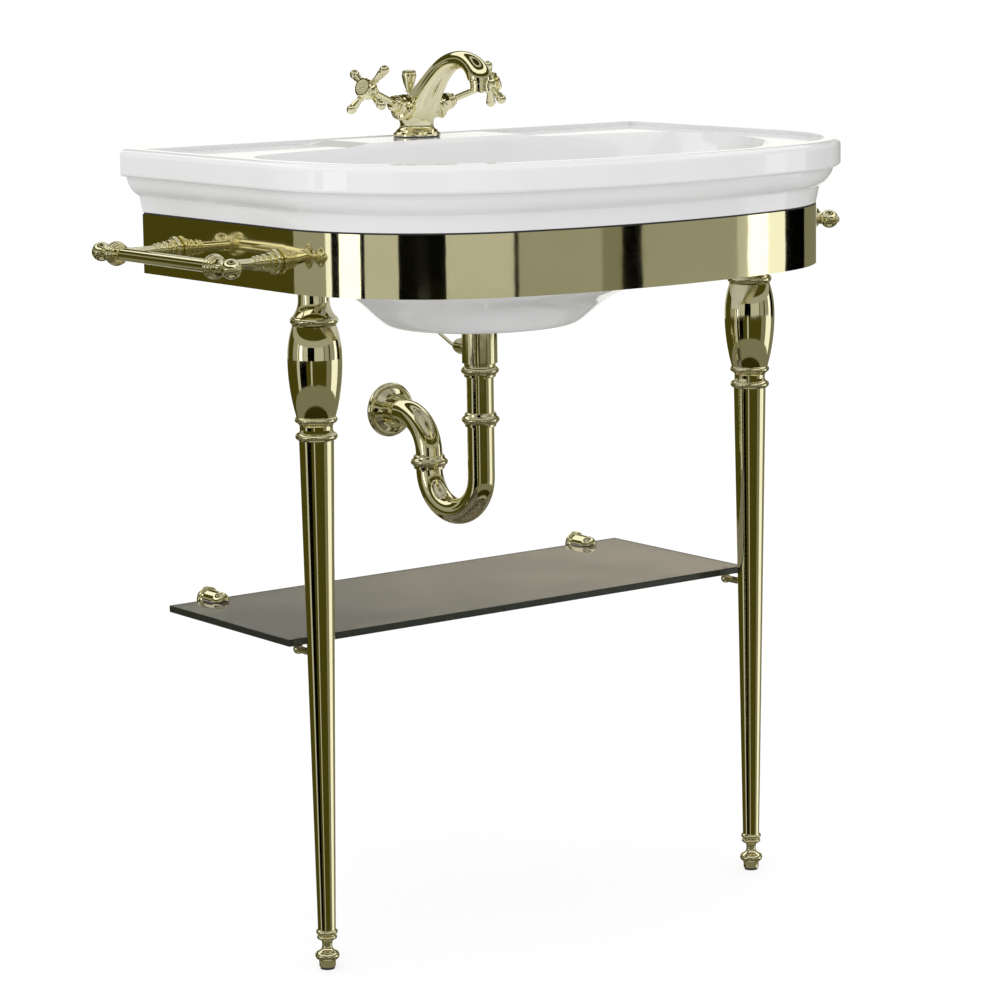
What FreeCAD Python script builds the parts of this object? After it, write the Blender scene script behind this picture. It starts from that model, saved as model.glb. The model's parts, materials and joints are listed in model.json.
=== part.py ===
"""Console sink: a glazed basin on a polished brass apron, two turned front legs,
towel rails, a glass shelf, a two-handle mixer tap, a pop-up waste and a swivel trap.

Lengths are in millimetres and angles in degrees.  +X is to the user's right, the
user stands on the -Y side, and Z is the height above the floor.  Most places are
given as (x, out, z), where out is the distance from the wall towards the user.
"""
import FreeCAD, Part
import math
import os

V = FreeCAD.Vector
UP = V(0, 0, 1)
DOWN = V(0, 0, -1)
TO_WALL = V(0, 1, 0)
TO_USER = V(0, -1, 0)
RIGHT = V(1, 0, 0)

# ---- driving dimensions -------------------------------------------------------
# basin
basin_width = 750.0
basin_depth = 550.0
rim_height = 900.0
bow_radius = 800.0          # the gently bowed front
corner_radius = 240.0       # the two front corners
slab_height = 31.0          # the square band of china round the top
rim_round = 8.0
slab_foot_round = 4.0
rim_width = 20.0            # raised border round the deck
deck_drop = 5.0             # deck below the raised border
china_wall = 20.0
deck_thickness = 15.0
groove_inset = 8.0          # step under the slab
ogee_height = 23.0
fascia_inset = 24.0
fascia_height = 19.0
bowl_depth = 184.0
bowl_foot_thickness = 30.0  # china between the bowl's floor and its flat underside
bowl_side_gap = 66.0        # deck left beside the bowl's opening
bowl_front_gap = 54.0
bowl_back_gap = 116.0       # tap ledge behind the bowl
bowl_waist_out = 200.0      # where the opening is widest, from the wall
lip_flare = 6.0
tap_ledge_width = 220.0
tap_ledge_ramp = 32.0
tap_ledge_drop = 1.0        # tap ledge below the rim

# apron
apron_height = 68.0
sheet = 2.0
ledge_width = 16.0
ledge_thickness = 3.0
seat_gasket = 2.0
apron_inset = 28.0          # apron's outer face inside the basin's edge
flange_width = 26.0
flange_hole_radius = 3.0
flange_hole_spacing = 36.0

# legs
leg_side_gap = 63.0         # basin's side to a leg's axis
leg_front_gap = 255.0       # basin's front to a leg's axis
leg_plate_thickness = 4.0
leg_plate_lift = 3.0        # plate above the apron's lower edge
leg_plate_half = 42.0
leg_plate_flange = 34.0
leg_stud_below = 26.0       # thread in the turned pieces
leg_stud_above = 14.0       # thread above the plate
foot_spigot_radius = 5.0
foot_spigot = 16.0
leg_stud_radius = 6.0
vase_radius = 30.0
vase_length = 168.0         # the turned head, from its plate down to the tapered shaft
shaft_top_radius = 19.2
shaft_foot_radius = 10.0
foot_height = 46.0
pad_thickness = 3.0
pad_radius = 8.0

# glass shelf
shelf_side_gap = 20.0       # a leg's axis to the glass's end
shelf_top = 369.4
glass = 8.0
shelf_wall_gap = 10.0
shelf_front_gap = 33.0      # leg axis to the glass's front edge
bracket_inset = 58.0        # the glass's end to a wall bracket
bracket_radius = 12.0
bracket_rosette_radius = 14.5
bracket_reach = 36.0
bracket_lift = 3.0          # barrel's axis above the middle of the glass
glass_liner = 1.0
pin_radius = 4.0
pin_ball_radius = 6.0
pin_pad = 1.5
pin_flat = 1.0              # ground off the ball's top
pin_seat_depth = 8.0
pin_overlap = 12.0          # ball behind the glass's front edge
rosette_depth = 6.0

# towel rails
rail_reach = 79.0           # apron face to the bar's axis
rail_front_gap = 1.0        # a post's rosette to the end of the apron's straight side
rail_back_out = 74.0
rail_drop = 110.0           # rim to the bars
bar_radius = 7.2
post_radius = 6.0
rosette_radius = 14.5
knuckle_radius = 14.0
knuckle_width = 17.0
finial_radius = 11.0
finial_neck = 14.0
boss_reach = 16.0           # bar axis to where the knuckle meets its post
rail_screw_radius = 2.5
rail_screw_depth = 12.0

# tap
tap_out = 55.0
tap_hole_radius = 17.5
tap_foot_radius = 28.5
tap_seal = 1.5
valve_height = 26.0         # valve axes cross this far above the ledge
valve_tilt = 20.0
valve_sweep = 17.0          # valve axes turned towards the user
collar_station = 31.0       # distances along a valve axis from the tap's centre
bonnet_length = 20.0
spindle_radius = 4.0
hub_station = 84.0
handle_station = 98.0
disc_station = 108.0
hub_radius = 11.5
index_radius = 9.0
spoke_reach = 31.0
spoke_ball_radius = 5.6
handle_phase = 20.0
spout_tip_out = 181.0
spout_tip_height = 70.0
aerator_radius = 11.6
aerator_height = 13.5
lift_back = 14.0            # lift rod behind the tap's centre
lift_rod_radius = 2.5
lift_knob_height = 60.0
inlet_radius = 5.0          # the supply end of each tail
inlet_neck_radius = 4.6
inlet_length = 80.0
inlet_end = 30.0
inlet_half_spacing = 8.5
inlet_back = 2.0            # inlets behind the tap's centre
inlet_depth = 12.0          # tail held in the body
tap_stud_radius = 4.0
tap_stud_front = 10.0       # stud in front of the tap's centre
tap_stud_depth = 14.0
tap_washer_thickness = 3.0

# waste and trap
drain_out = 174.0
waste_radius = 21.0
waste_bore = 16.5
flange_radius = 31.0
drain_hole_radius = 23.0
nut_recess = 16.0
nut_recess_radius = 40.0
tube_radius = 16.0
tube_wall = 1.5
socket_wall = 2.5
ring_radius = 22.5
ring_drop = 54.0            # bowl's underside to the upper slip nut
ring_rise = 6.0             # outlet to the middle slip nut
trap_radius = 46.0
trap_swing = 5.8            # the trap turned about the tail pipe, towards -X
outlet_drop = 333.0         # rim to the outlet's axis
outlet_radius = 46.0
bell_depth = 8.0            # slip nut to where a bend starts
wall_reach = 40.0           # bolts go this far into the wall
outlet_reach = 20.0         # and the outlet pipe this far
mark_width = 1.0            # groove cut round the pipe where it enters the wall
mark_depth = 0.3
escutcheon_radius = 32.75
escutcheon_depth = 15.0
pivot_drop = 30.0           # bowl's underside to the pivot
pivot_arm = 36.0            # pivot ball to the plug's axis
pivot_ball_radius = 6.0
lever_radius = 2.0
lever_crank = 30.0
plug_lift = 8.0
lever_elbow = 14.0          # pivot ball to the lever's bend
lever_overrun = 8.0         # lever beyond the lift rod
strap_half_width = 6.5
strap_thickness = 2.0
strap_slot_half = 7.0       # half the height of the lever's slot
strap_end = 10.5            # slot's middle to the strap's lower end
clip_drop = 108.0           # rim to the clip
clip_depth = 9.0
clip_wall = 2.5
flange_plate = 2.6
waste_seal = 1.5
neck_drop = 22.0            # bowl's underside to the end of the flange's neck
tube_socket = 14.0
pivot_boss_radius = 8.0
gasket_thickness = 3.0
locknut_height = 10.0

# wall bolts
bolt_half_spacing = 140.0
bolt_radius = 5.0           # the end in the wall
bolt_neck_radius = 4.0      # the end in the basin
bolt_hole_radius = 9.0      # the hole in the basin
bolt_shoulder = 1.0         # where it widens, behind the wall's face
bolt_front = 16.0           # bolt in front of the china
bolt_washer = 3.0
bolt_drop = 40.0

# clearances
running = 0.08
loose = 0.4

# ---- places worked out from them ----------------------------------------------
basin_half = basin_width / 2
wall_y = (basin_depth - wall_reach) / 2
slab_bottom = rim_height - slab_height
ogee_bottom = slab_bottom - ogee_height
basin_bottom = ogee_bottom - fascia_height
apron_top = basin_bottom - seat_gasket
apron_bottom = apron_top - apron_height
apron_half = basin_half - apron_inset
deck_top = rim_height - deck_drop
ledge_top = rim_height - tap_ledge_drop
deck_underside = deck_top - deck_thickness
bowl_floor = rim_height - bowl_depth
bowl_underside = bowl_floor - bowl_foot_thickness
plate_bottom = apron_bottom + leg_plate_lift
plate_top = plate_bottom + leg_plate_thickness
glass_bottom = shelf_top - glass
bracket_height = shelf_top - glass / 2 + bracket_lift
leg_half_spacing = basin_half - leg_side_gap
leg_out = basin_depth - leg_front_gap
vase_foot_height = plate_bottom - vase_length
shelf_front = leg_out - shelf_front_gap
shelf_half = leg_half_spacing + shelf_side_gap
bracket_half_spacing = shelf_half - bracket_inset
pin_height = glass_bottom - pin_pad - pin_ball_radius + pin_flat
rail_x = apron_half + rail_reach
rail_height = rim_height - rail_drop
valve_z = ledge_top + valve_height
lift_out = tap_out - lift_back
tube_bore = tube_radius - tube_wall
socket_radius = tube_radius + socket_wall
pivot_out = drain_out - pivot_arm
pivot_height = bowl_underside - pivot_drop
neck_bottom = bowl_underside - neck_drop
clip_height = rim_height - clip_drop
ring_top = bowl_underside - ring_drop
outlet_height = rim_height - outlet_drop
ring_middle = outlet_height + ring_rise
ring_low = outlet_height - outlet_radius - bell_depth
bend_centre = ring_low - bell_depth
trap_end_x = -2 * trap_radius * math.sin(math.radians(trap_swing))
trap_end_out = drain_out - 2 * trap_radius * math.cos(math.radians(trap_swing))


# ---- helpers --------------------------------------------------------------------
def at(x, out, z):
    """A point from its distance out from the wall."""
    return V(x, wall_y - out, z)


def block(x0, x1, out0, out1, z0, z1):
    """A box between two distances from the wall, out0 the nearer."""
    return Part.makeBox(x1 - x0, out1 - out0, z1 - z0, at(x0, out1, z0))


def rod(radius, start, direction, length):
    return Part.makeCylinder(radius, length, start, direction)


def tube(outer, inner, start, direction, length):
    return rod(outer, start, direction, length).cut(rod(inner, start, direction, length))


def turned(profile, bore=0.0):
    """A turned solid about +Z.  A pair (r, z) is a straight cut to that point and
    a four (rm, zm, r, z) an arc through the first point to the second."""
    here = V(profile[0][0], 0, profile[0][1])
    first = here
    edges = []
    for step in profile[1:]:
        there = V(step[-2], 0, step[-1])
        if len(step) == 4:
            edges.append(Part.Arc(here, V(step[0], 0, step[1]), there).toShape())
        else:
            edges.append(Part.LineSegment(here, there).toShape())
        here = there
    corners = [here, V(bore, 0, here.z), V(bore, 0, first.z), first]
    for a, b in zip(corners, corners[1:]):
        if a.distanceToPoint(b) > 1e-6:
            edges.append(Part.LineSegment(a, b).toShape())
    return Part.Face(Part.Wire(edges)).revolve(V(0, 0, 0), UP, 360)


def drawn(profile, across, along, start=0.0):
    """A profile's radii and heights multiplied, and its heights counted from start."""
    return [tuple(value * across if i % 2 == 0 else start + value * along for i, value in enumerate(step))
            for step in profile]


def stand(shape, origin, direction=UP, turn=0.0):
    """Put a shape made about +Z at a place, with its axis along a direction."""
    copy = shape.copy()
    spin = FreeCAD.Rotation(UP, turn)
    lean = FreeCAD.Rotation(UP, direction)
    copy.Placement = FreeCAD.Placement(origin, lean * spin)
    return copy


def hexagon(across, z0, z1):
    """A six-sided prism about +Z, from its size across the flats."""
    r = across / math.sqrt(3)
    corners = [V(r * math.cos(math.radians(60 * i)), r * math.sin(math.radians(60 * i)), z0)
               for i in range(7)]
    return Part.Face(Part.makePolygon(corners)).extrude(V(0, 0, z1 - z0))


def mirrored(shape):
    return shape.mirror(V(0, 0, 0), RIGHT)


def merged(shape):
    """The shape with its split faces joined again, unless that would spoil it."""
    joined = shape.copy().removeSplitter()
    return joined if joined.isValid() else shape


def both(shape):
    """The shape and its twin on the other side, as separate solids."""
    return Part.makeCompound([shape, mirrored(shape)])


def straight_side(inset):
    """How far out the straight side of the outline runs before its corner."""
    bow = bow_radius - inset
    corner = corner_radius - inset
    return basin_depth - inset - bow + math.sqrt((bow - corner) ** 2 - (basin_half - inset - corner) ** 2)


def outline(inset, z, start=0.0):
    """The plan of the basin drawn in by inset: straight sides from the wall,
    rounded front corners and a bowed front, closed by a line at start."""
    half = basin_half - inset
    bow = bow_radius - inset
    corner = corner_radius - inset
    bow_out = basin_depth - inset - bow
    corner_x = half - corner
    corner_out = straight_side(inset)
    reach = bow / (bow - corner)
    join_x = corner_x * reach
    join_out = bow_out + (corner_out - bow_out) * reach
    half_angle = math.atan2(corner_out - bow_out, corner_x) / 2
    bulge_x = corner_x + corner * math.cos(half_angle)
    bulge_out = corner_out + corner * math.sin(half_angle)
    edges = [
        Part.LineSegment(at(half, start, z), at(half, corner_out, z)),
        Part.Arc(at(half, corner_out, z), at(bulge_x, bulge_out, z), at(join_x, join_out, z)),
        Part.Arc(at(join_x, join_out, z), at(0, bow_out + bow, z), at(-join_x, join_out, z)),
        Part.Arc(at(-join_x, join_out, z), at(-bulge_x, bulge_out, z), at(-half, corner_out, z)),
        Part.LineSegment(at(-half, corner_out, z), at(-half, start, z)),
        Part.LineSegment(at(-half, start, z), at(half, start, z)),
    ]
    return Part.Wire([edge.toShape() for edge in edges])


def rail_outs():
    """The two posts of a towel rail, as distances from the wall."""
    return straight_side(apron_inset) - rosette_radius - rail_front_gap, rail_back_out


def slab(inset, z0, z1, start=0.0):
    return Part.Face(outline(inset, z0, start)).extrude(V(0, 0, z1 - z0))


def save(name, shape):
    shape.exportStep(os.path.join("parts", name + ".step"))


# ---- basin ----------------------------------------------------------------------
def bowl_ring(z, out, half, back, front, square_back, square_front):
    """One level of the bowl: a rounded D, wider than deep, squarer at the wall."""
    points = []
    count = 28
    for i in range(count):
        t = 2 * math.pi * (i + 0.5) / count
        c, s = math.cos(t), math.sin(t)
        square = square_front if s > 0 else square_back
        depth = front if s > 0 else back
        x = half * math.copysign(abs(c) ** (2 / square), c)
        y = depth * math.copysign(abs(s) ** (2 / square), s)
        points.append(at(x, out + y, z))
    curve = Part.BSplineCurve()
    curve.interpolate(points, PeriodicFlag=True)
    return Part.Wire(curve.toShape())


def bowl_loft(levels):
    return Part.makeLoft([bowl_ring(*level) for level in levels], True, False)


def bowl_inside():
    """The space that holds water, from above the rim down to the drain."""
    half = basin_half - bowl_side_gap
    back = bowl_waist_out - bowl_back_gap
    front = basin_depth - bowl_front_gap - bowl_waist_out
    floor = bowl_floor
    return bowl_loft([
        (rim_height + 3, bowl_waist_out, half + lip_flare, back + lip_flare, front + lip_flare, 2.7, 2.3),
        (deck_top - 4, bowl_waist_out, half, back, front, 2.7, 2.3),
        (floor + 0.74 * bowl_depth, bowl_waist_out, 0.91 * half, 0.93 * back, 0.87 * front, 2.5, 2.2),
        (floor + 0.48 * bowl_depth, bowl_waist_out, 0.79 * half, 0.84 * back, 0.72 * front, 2.3, 2.1),
        (floor + 0.27 * bowl_depth, 0.6 * bowl_waist_out + 0.4 * drain_out, 0.66 * half, 0.74 * back,
         0.56 * front, 2.1, 2.0),
        (floor + 0.115 * bowl_depth, drain_out + 10, 0.50 * half, 0.62 * back, 0.40 * front, 2.0, 2.0),
        (floor + 0.03 * bowl_depth, drain_out + 3, 0.33 * half, 0.50 * back, 0.24 * front, 2.0, 2.0),
        (floor, drain_out, flange_radius + 2, flange_radius + 2, flange_radius + 2, 2.0, 2.0),
    ])


def bowl_outside():
    """The bowl's outer skin, down to its flat foot round the waste."""
    foot = bowl_underside
    rise = deck_underside - foot
    half = basin_half - apron_inset - ledge_width
    back = bowl_waist_out - china_wall
    front = basin_depth - apron_inset - ledge_width - bowl_waist_out
    flat = nut_recess_radius + 10
    return bowl_loft([
        (deck_underside + 5, bowl_waist_out, 0.99 * half, 0.57 * back, 1.01 * front, 2.6, 2.3),
        (foot + 0.85 * rise, bowl_waist_out + 3, 0.92 * half, 0.56 * back, 0.92 * front, 2.5, 2.2),
        (foot + 0.6 * rise, bowl_waist_out, 0.79 * half, 0.54 * back, 0.82 * front, 2.3, 2.1),
        (foot + 0.39 * rise, bowl_waist_out - 2, 0.66 * half, 0.52 * back, 0.66 * front, 2.2, 2.1),
        (foot + 0.24 * rise, drain_out + 20, 0.56 * half, 0.50 * back, 0.52 * front, 2.1, 2.0),
        (foot + 0.14 * rise, drain_out + 13, 0.47 * half, 0.50 * back, 0.40 * front, 2.1, 2.0),
        (foot + 0.045 * rise, drain_out + 6, 0.385 * half, 0.49 * back, 0.36 * front, 2.2, 2.1),
        (foot, drain_out + 2, 2.08 * flat, 1.66 * flat, 1.96 * flat, 2.2, 2.1),
    ])


def tap_ledge():
    """The raised place for the tap, with long ramps down to the deck."""
    rings = []
    for z, spread in ((deck_top - 1, tap_ledge_ramp), (deck_top, tap_ledge_ramp), (ledge_top, 0)):
        half = tap_ledge_width / 2 + spread
        back = rim_width - 1
        corners = [(-half, back), (half, back), (half, bowl_waist_out), (-half, bowl_waist_out), (-half, back)]
        rings.append(Part.makePolygon([at(x, out, z) for x, out in corners]))
    return Part.makeLoft(rings, True, True)


def outer_edges(shape, z, tolerance=0.01):
    """The level edges at height z, all but the ones along the wall."""
    found = []
    for edge in shape.Edges:
        box = edge.BoundBox
        level = abs(box.ZMin - z) < tolerance and abs(box.ZMax - z) < tolerance
        if level and box.YMin < wall_y - tolerance:
            found.append(edge)
    return found


def basin():
    rim = slab(0, slab_bottom, rim_height)
    rim = rim.makeFillet(rim_round, outer_edges(rim, rim_height))
    rim = rim.makeFillet(slab_foot_round, outer_edges(rim, slab_bottom))
    steps = [(groove_inset, slab_bottom), (groove_inset + 2, slab_bottom - 0.35 * ogee_height),
             (groove_inset + 7, slab_bottom - 0.7 * ogee_height), (fascia_inset, ogee_bottom)]
    ogee = Part.makeLoft([outline(inset, z) for inset, z in steps], True, False)
    fascia = Part.makeLoft([outline(fascia_inset, ogee_bottom),
                            outline(apron_inset, basin_bottom)], True, True)
    pocket_inset = apron_inset + ledge_width
    pocket = slab(pocket_inset, basin_bottom - 1, deck_underside, china_wall)
    body = rim.fuse([ogee, fascia]).cut(pocket)
    recess = slab(rim_width, deck_top, rim_height + 1, rim_width)
    body = body.cut(recess).fuse(tap_ledge())
    body = body.fuse(bowl_outside())
    body = body.cut(bowl_inside())
    drain_z = bowl_underside - 1
    holes = [
        rod(drain_hole_radius, at(0, drain_out, drain_z), UP, bowl_foot_thickness + 5),
        rod(nut_recess_radius, at(0, drain_out, drain_z), UP, nut_recess + 1),
        rod(tap_hole_radius, at(0, tap_out, deck_underside - 5), UP, deck_thickness + 15),
    ]
    for side in (-1, 1):
        x = side * bolt_half_spacing
        holes.append(rod(bolt_hole_radius, at(x, china_wall + 1, rim_height - bolt_drop), TO_WALL,
                         china_wall + 2))
    for hole in holes:
        body = body.cut(hole)
    return merged(body)


# ---- apron ----------------------------------------------------------------------
def apron():
    """The U-shaped sheet under the basin, with a screw flange turned in at each
    end against the wall."""
    band = slab(apron_inset, apron_bottom, apron_top).cut(
        slab(apron_inset + sheet, apron_bottom - 1, apron_top + 1, -1))
    inner = apron_half - sheet
    flange = block(inner - flange_width, inner, 0, sheet, apron_bottom, apron_top)
    middle = (apron_bottom + apron_top) / 2
    for offset in (-flange_hole_spacing / 2, flange_hole_spacing / 2):
        hole = at(inner - flange_width / 2, sheet + 1, middle + offset)
        flange = flange.cut(rod(flange_hole_radius, hole, TO_WALL, sheet + 2))
    band = band.fuse([flange, mirrored(flange)])
    holes = []
    for out in rail_outs():
        hole = rod(rail_screw_radius, at(inner - 1, out, rail_height), RIGHT, sheet + 2)
        holes += [hole, mirrored(hole)]
    return merged(band.cut(holes))


def apron_ledge():
    """A flat strip inside the apron's upper edge, which carries the basin."""
    z = apron_top - ledge_thickness
    strip = slab(apron_inset + sheet, z, apron_top, sheet)
    return strip.cut(slab(apron_inset + sheet + ledge_width, z - 1, apron_top + 1, -1))


def basin_gasket():
    strip = slab(apron_inset + 1, apron_top, basin_bottom, 1)
    return strip.cut(slab(apron_inset + ledge_width, apron_top - 1, basin_bottom + 1, -1))


def leg_plate():
    """The bent plate that joins a leg to the apron's side."""
    inner = apron_half - sheet
    plate = block(leg_half_spacing - leg_plate_half, inner, leg_out - leg_plate_half,
                  leg_out + leg_plate_half, plate_bottom, plate_top)
    clear_of_screw = rail_outs()[0] + 2 * rail_screw_radius + loose
    inside = apron_inset + sheet
    upright_top = plate_top + leg_plate_flange
    upright = slab(inside, plate_top, upright_top).cut(
        slab(inside + leg_plate_thickness, plate_top - 1, upright_top + 1))
    upright = upright.common(block(leg_half_spacing, inner, clear_of_screw,
                                   leg_out + leg_plate_half, plate_top, upright_top))
    plate = plate.common(slab(inside, plate_bottom - 1, plate_top + 1))
    plate = plate.fuse(upright)
    plate = plate.cut(rod(leg_stud_radius, at(leg_half_spacing, leg_out, plate_bottom - 1), UP,
                          leg_plate_thickness + 2))
    return merged(plate)


# ---- legs -----------------------------------------------------------------------
def leg_vase():
    """The turned head of a leg: neck, bead, vase, lower beads."""
    profile = [
        (0.640, 0), (0.640, 0.012), (0.777, 0.039, 0.640, 0.065),
        (0.607, 0.083), (0.613, 0.107), (0.687, 0.125), (0.787, 0.146, 0.720, 0.167),
        (0.927, 0.345, 1.000, 0.548), (0.947, 0.661, 0.807, 0.759),
        (0.820, 0.768), (0.883, 0.795, 0.780, 0.821), (0.633, 0.869, 0.577, 0.935), (0.577, 1.0),
    ]
    return turned(drawn(profile, vase_radius, vase_length, vase_foot_height))


def leg_vase_drilled():
    vase = leg_vase()
    vase = vase.cut(rod(leg_stud_radius, V(0, 0, plate_bottom - leg_stud_below), UP, leg_stud_below + 1))
    return vase.cut(rod(leg_stud_radius, V(0, 0, vase_foot_height - 1), UP, leg_stud_below + 1))


def leg_shaft():
    """The straight tapered shaft, drilled for its studs and the shelf pin."""
    shaft = turned([(shaft_foot_radius, foot_height), (shaft_top_radius, vase_foot_height)])
    shaft = shaft.cut(rod(leg_stud_radius, V(0, 0, vase_foot_height - leg_stud_below), UP, leg_stud_below + 1))
    shaft = shaft.cut(rod(foot_spigot_radius, V(0, 0, foot_height - 1), UP, foot_spigot + 1))
    return shaft.cut(rod(pin_radius, V(0, 0, pin_height), TO_WALL, shaft_top_radius))


def leg_foot():
    """The small turned foot, with the spigot that screws into the shaft."""
    profile = [
        (0.92, 0), (0.96, 0.174), (1.36, 0.291, 0.96, 0.407), (0.64, 0.477, 0.59, 0.581),
        (0.64, 0.663, 0.88, 0.721), (1.14, 0.772, 0.92, 0.828), (0.92, 0.856),
        (1.22, 0.916, 1.00, 0.977), (1.00, 1.0),
    ]
    foot = turned(drawn(profile, shaft_foot_radius, foot_height - pad_thickness, pad_thickness))
    return merged(foot.fuse(rod(foot_spigot_radius, V(0, 0, foot_height), UP, foot_spigot)))


# ---- towel rails ------------------------------------------------------------------
def rail_post():
    """A post from the apron (z = 0) to its knuckle: stepped beads, then a plain rod."""
    length = rail_reach - boss_reach
    beads = [
        (0.759, 0), (0.759, 0.103), (1.0, 0.276, 0.800, 0.469), (0.648, 0.510), (0.648, 0.621),
        (0.759, 0.745, 0.621, 0.869), (0.524, 0.910), (0.524, 1.069), (0.662, 1.214, 0.510, 1.352),
        (0.476, 1.407), (0.476, 1.586), (0.607, 1.724, 0.476, 1.862), (0.455, 1.931),
        (0.552, 2.041, 0.414, 2.152),
    ]
    post = turned(drawn(beads, rosette_radius, rosette_radius) + [(0.9 * post_radius, length)])
    return post.cut(rod(rail_screw_radius, V(0, 0, -1), UP, rail_screw_depth + 1))


def rail_knuckle():
    """The beaded ring that holds the bar, its bore along Z and its boss along +X."""
    profile = [
        (0.657, -0.5), (0.743, -0.418, 0.671, -0.335), (0.9, -0.241, 0.786, -0.171),
        (1.0, 0, 0.786, 0.171), (0.9, 0.241, 0.671, 0.335), (0.743, 0.418, 0.657, 0.5),
    ]
    ring = turned(drawn(profile, knuckle_radius, knuckle_width), bar_radius)
    boss = rod(post_radius, V(bar_radius + 1, 0, 0), RIGHT, boss_reach - bar_radius - 1)
    return merged(ring.fuse(boss))


def rail_finial():
    """A ball on a short neck, with a small tip."""
    neck = [(0.782, 0), (0.782, 0.086), (0.545, 0.157), (0.418, 0.393, 0.455, 0.786),
            (0.673, 0.857), (0.673, 0.971), (0.491, 1.043)]
    ball = [(1.0, 1.0, 0.291, 1.927), (0.418, 2.109, 0.2, 2.273), (0.145, 2.473, 0.036, 2.527)]
    return turned(drawn(neck, finial_radius, finial_neck)
                  + drawn(ball, finial_radius, finial_radius, finial_neck))


def rail_pieces():
    """The pieces of the right-hand towel rail, by kind."""
    outs = rail_outs()
    posts = [stand(rail_post(), at(apron_half, out, rail_height), RIGHT) for out in outs]
    to_post = FreeCAD.Rotation(UP, 180) * FreeCAD.Rotation(RIGHT, 90)
    knuckles = []
    for out in outs:
        knuckle = rail_knuckle()
        knuckle.Placement = FreeCAD.Placement(at(rail_x, out, rail_height), to_post)
        knuckles.append(knuckle)
    overhang = knuckle_width / 2
    length = outs[0] - outs[1] + 2 * overhang
    bar = rod(bar_radius, at(rail_x, outs[1] - overhang, rail_height), TO_USER, length)
    finials = [stand(rail_finial(), at(rail_x, outs[0] + overhang, rail_height), TO_USER),
               stand(rail_finial(), at(rail_x, outs[1] - overhang, rail_height), TO_WALL)]
    return {"posts": Part.makeCompound(posts), "knuckles": Part.makeCompound(knuckles),
            "bars": bar, "finials": Part.makeCompound(finials)}


def rail_screws():
    """Pan-head screws from inside the apron into the posts."""
    screws = []
    inner = apron_half - sheet
    for out in rail_outs():
        head = rod(2 * rail_screw_radius, at(inner - 3, out, rail_height), RIGHT, 3)
        shank = rod(rail_screw_radius, at(inner, out, rail_height), RIGHT, sheet + rail_screw_depth)
        screw = merged(head.fuse(shank))
        screws += [screw, mirrored(screw)]
    return Part.makeCompound(screws)


# ---- glass shelf --------------------------------------------------------------------
def shelf_glass():
    pane = block(-shelf_half, shelf_half, shelf_wall_gap, shelf_front, glass_bottom, shelf_top)
    uprights = [e for e in pane.Edges if e.BoundBox.ZLength > glass / 2]
    pane = pane.makeFillet(3.0, uprights)
    return pane.makeChamfer(0.8, pane.Edges)


def shelf_pin():
    """A pin screwed into the back of a leg, with a flatted ball under the glass."""
    leg_radius = shaft_foot_radius + (shaft_top_radius - shaft_foot_radius) * (
        (pin_height - foot_height) / (vase_foot_height - foot_height))
    start = leg_radius - pin_seat_depth
    ball_at = shelf_front_gap + pin_overlap
    pin = rod(pin_radius, at(leg_half_spacing, leg_out - start, pin_height), TO_WALL, ball_at - start)
    ball = Part.makeSphere(pin_ball_radius, at(leg_half_spacing, leg_out - ball_at, pin_height))
    pin = pin.fuse(ball)
    flat = pin_height + pin_ball_radius - pin_flat
    reach = 2 * pin_ball_radius
    x = leg_half_spacing
    above = block(x - reach, x + reach, leg_out - ball_at - reach, leg_out - ball_at + reach,
                  flat, flat + reach)
    return pin.cut(above)


def shelf_pin_pad():
    ball_out = leg_out - shelf_front_gap - pin_overlap
    return rod(3.2, at(leg_half_spacing, ball_out, glass_bottom - pin_pad), UP, pin_pad)


def glass_slot(x, thickness):
    """Room for the glass in a wall bracket, with a liner of that thickness round it."""
    return block(x - 20, x + 20, shelf_wall_gap - thickness, bracket_reach + 10,
                 glass_bottom - thickness, shelf_top + thickness)


def shelf_bracket():
    """A barrel from the wall with a slot for the glass and a domed end."""
    r = bracket_radius
    barrel = turned([(r - 1.5, rosette_depth), (r, rosette_depth + 2), (r, bracket_reach - r * 0.6),
                     (0.8 * r, bracket_reach - 0.16 * r, 0.01, bracket_reach)])
    barrel = stand(barrel, at(bracket_half_spacing, 0, bracket_height), TO_USER)
    return barrel.cut(glass_slot(bracket_half_spacing, glass_liner))


def shelf_rosette():
    r = bracket_rosette_radius
    rosette = turned([(r, 0), (r, 2), (r - 0.4, 4.0, r - 2.6, 4.6), (r - 3.2, rosette_depth)])
    rosette = rosette.cut(rod(2.2, V(0, 0, -1), UP, 20))
    return stand(rosette, at(bracket_half_spacing, 0, bracket_height), TO_USER)


def shelf_liner():
    r = bracket_radius
    x = bracket_half_spacing
    core = rod(r - 0.6, at(x, rosette_depth + 2.4, bracket_height), TO_USER,
               bracket_reach - r * 0.6 - rosette_depth - 2.4)
    return glass_slot(x, glass_liner).cut(glass_slot(x, 0)).common(core)


# ---- tap ----------------------------------------------------------------------------
def valve_axis(side):
    tilt = math.radians(valve_tilt)
    sweep = math.radians(valve_sweep)
    return V(side * math.cos(tilt) * math.cos(sweep), -math.cos(tilt) * math.sin(sweep),
             math.sin(tilt))


def on_valve(shape, side, turn=0.0):
    """Put a shape made about +Z on a valve axis, z counted from the tap's centre."""
    return stand(shape, at(0, tap_out, valve_z), valve_axis(side), turn)


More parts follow.
